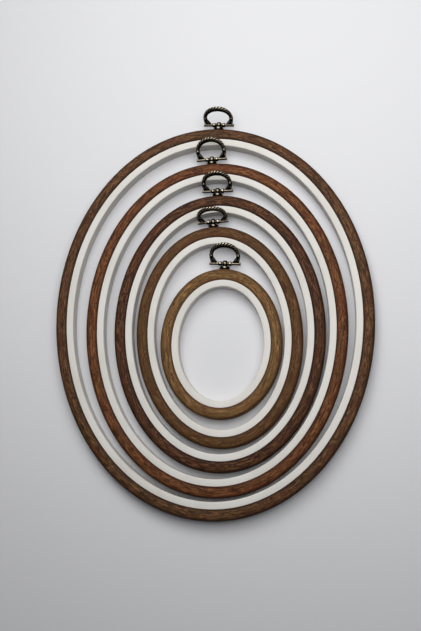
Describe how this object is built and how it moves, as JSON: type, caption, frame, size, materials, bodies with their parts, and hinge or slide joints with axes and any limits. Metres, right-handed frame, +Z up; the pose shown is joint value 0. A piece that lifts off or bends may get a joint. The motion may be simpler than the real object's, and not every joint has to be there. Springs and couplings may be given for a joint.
{
  "type": "embroidery hoop",
  "caption": "Nested oval embroidery hoops with wood-look outer rings, white inner rings and swinging metal hanger bows.",
  "frame": {"origin": "on the table under the middle of the nest's bounding box", "axes": "+Y along the hoops' long axis towards the hangers, +X to the right seen from above, +Z up from the table"},
  "size_m": [0.2206, 0.286, 0.0203],
  "materials": {
    "ring_plastic": "off-white moulded plastic, satin",
    "hanger_metal": "dark antique brass casting, rubbed bright on the high spots",
    "hoop1_wood_look": "flexible vinyl with a printed wood grain, satin",
    "hoop2_wood_look": "flexible vinyl with a printed wood grain, satin",
    "hoop3_wood_look": "flexible vinyl with a printed wood grain, satin",
    "hoop4_wood_look": "flexible vinyl with a printed wood grain, satin",
    "hoop5_wood_look": "flexible vinyl with a printed wood grain, satin"
  },
  "bodies": {
    "hoop1_inner": {"hoop1_inner_ring": "ring_plastic"},
    "hoop1_outer": {"hoop1_outer_ring": "hoop1_wood_look", "hoop1_hanger_stem": "hanger_metal"},
    "hoop1_bow": {"hoop1_bow": "hanger_metal", "hoop1_cross_pin": "hanger_metal", "hoop1_bead_left": "hanger_metal", "hoop1_bead_right": "hanger_metal"},
    "hoop2_inner": {"hoop2_inner_ring": "ring_plastic"},
    "hoop2_outer": {"hoop2_outer_ring": "hoop2_wood_look", "hoop2_hanger_stem": "hanger_metal"},
    "hoop2_bow": {"hoop2_bow": "hanger_metal", "hoop2_cross_pin": "hanger_metal", "hoop2_bead_left": "hanger_metal", "hoop2_bead_right": "hanger_metal"},
    "hoop3_inner": {"hoop3_inner_ring": "ring_plastic"},
    "hoop3_outer": {"hoop3_outer_ring": "hoop3_wood_look", "hoop3_hanger_stem": "hanger_metal"},
    "hoop3_bow": {"hoop3_bow": "hanger_metal", "hoop3_cross_pin": "hanger_metal", "hoop3_bead_left": "hanger_metal", "hoop3_bead_right": "hanger_metal"},
    "hoop4_inner": {"hoop4_inner_ring": "ring_plastic"},
    "hoop4_outer": {"hoop4_outer_ring": "hoop4_wood_look", "hoop4_hanger_stem": "hanger_metal"},
    "hoop4_bow": {"hoop4_bow": "hanger_metal", "hoop4_cross_pin": "hanger_metal", "hoop4_bead_left": "hanger_metal", "hoop4_bead_right": "hanger_metal"},
    "hoop5_inner": {"hoop5_inner_ring": "ring_plastic"},
    "hoop5_outer": {"hoop5_outer_ring": "hoop5_wood_look", "hoop5_hanger_stem": "hanger_metal"},
    "hoop5_bow": {"hoop5_bow": "hanger_metal", "hoop5_cross_pin": "hanger_metal", "hoop5_bead_left": "hanger_metal", "hoop5_bead_right": "hanger_metal"}
  },
  "joints": [
    {"name": "hoop1_outer_ring_off", "type": "slide", "parent": "hoop1_inner", "child": "hoop1_outer", "axis": [0, 0, 1], "range_m": [0, 0.03]},
    {"name": "hoop1_bow_swing", "type": "hinge", "parent": "hoop1_outer", "child": "hoop1_bow", "pos_m": [0.00558, 0.13576, 0.00425], "axis": [0.9982, -0.0593, 0], "range_deg": [-77, 54.2]},
    {"name": "hoop2_lift_out", "type": "slide", "parent": "hoop1_outer", "child": "hoop2_inner", "axis": [0, 0, 1], "range_m": [0, 0.03]},
    {"name": "hoop2_outer_ring_off", "type": "slide", "parent": "hoop2_inner", "child": "hoop2_outer", "axis": [0, 0, 1], "range_m": [0, 0.03]},
    {"name": "hoop2_bow_swing", "type": "hinge", "parent": "hoop2_outer", "child": "hoop2_bow", "pos_m": [0.00031, 0.1095, 0.00425], "axis": [0.9996, 0.0269, 0], "range_deg": [-13.2, 76.1]},
    {"name": "hoop3_lift_out", "type": "slide", "parent": "hoop2_outer", "child": "hoop3_inner", "axis": [0, 0, 1], "range_m": [0, 0.03]},
    {"name": "hoop3_outer_ring_off", "type": "slide", "parent": "hoop3_inner", "child": "hoop3_outer", "axis": [0, 0, 1], "range_m": [0, 0.03]},
    {"name": "hoop3_bow_swing", "type": "hinge", "parent": "hoop3_outer", "child": "hoop3_bow", "pos_m": [0.00439, 0.08532, 0.00425], "axis": [1, -0.0008, 0], "range_deg": [-11.3, 67]},
    {"name": "hoop4_lift_out", "type": "slide", "parent": "hoop3_outer", "child": "hoop4_inner", "axis": [0, 0, 1], "range_m": [0, 0.03]},
    {"name": "hoop4_outer_ring_off", "type": "slide", "parent": "hoop4_inner", "child": "hoop4_outer", "axis": [0, 0, 1], "range_m": [0, 0.03]},
    {"name": "hoop4_bow_swing", "type": "hinge", "parent": "hoop4_outer", "child": "hoop4_bow", "pos_m": [0.00105, 0.06234, 0.00425], "axis": [0.9989, 0.0471, 0], "range_deg": [-13.6, 51.6]},
    {"name": "hoop5_lift_out", "type": "slide", "parent": "hoop4_outer", "child": "hoop5_inner", "axis": [0, 0, 1], "range_m": [0, 0.03]},
    {"name": "hoop5_outer_ring_off", "type": "slide", "parent": "hoop5_inner", "child": "hoop5_outer", "axis": [0, 0, 1], "range_m": [0, 0.03]},
    {"name": "hoop5_bow_swing", "type": "hinge", "parent": "hoop5_outer", "child": "hoop5_bow", "pos_m": [0.00929, 0.03154, 0.00425], "axis": [0.9983, -0.0577, 0], "range_deg": [-18.3, 75.5]}
  ]
}
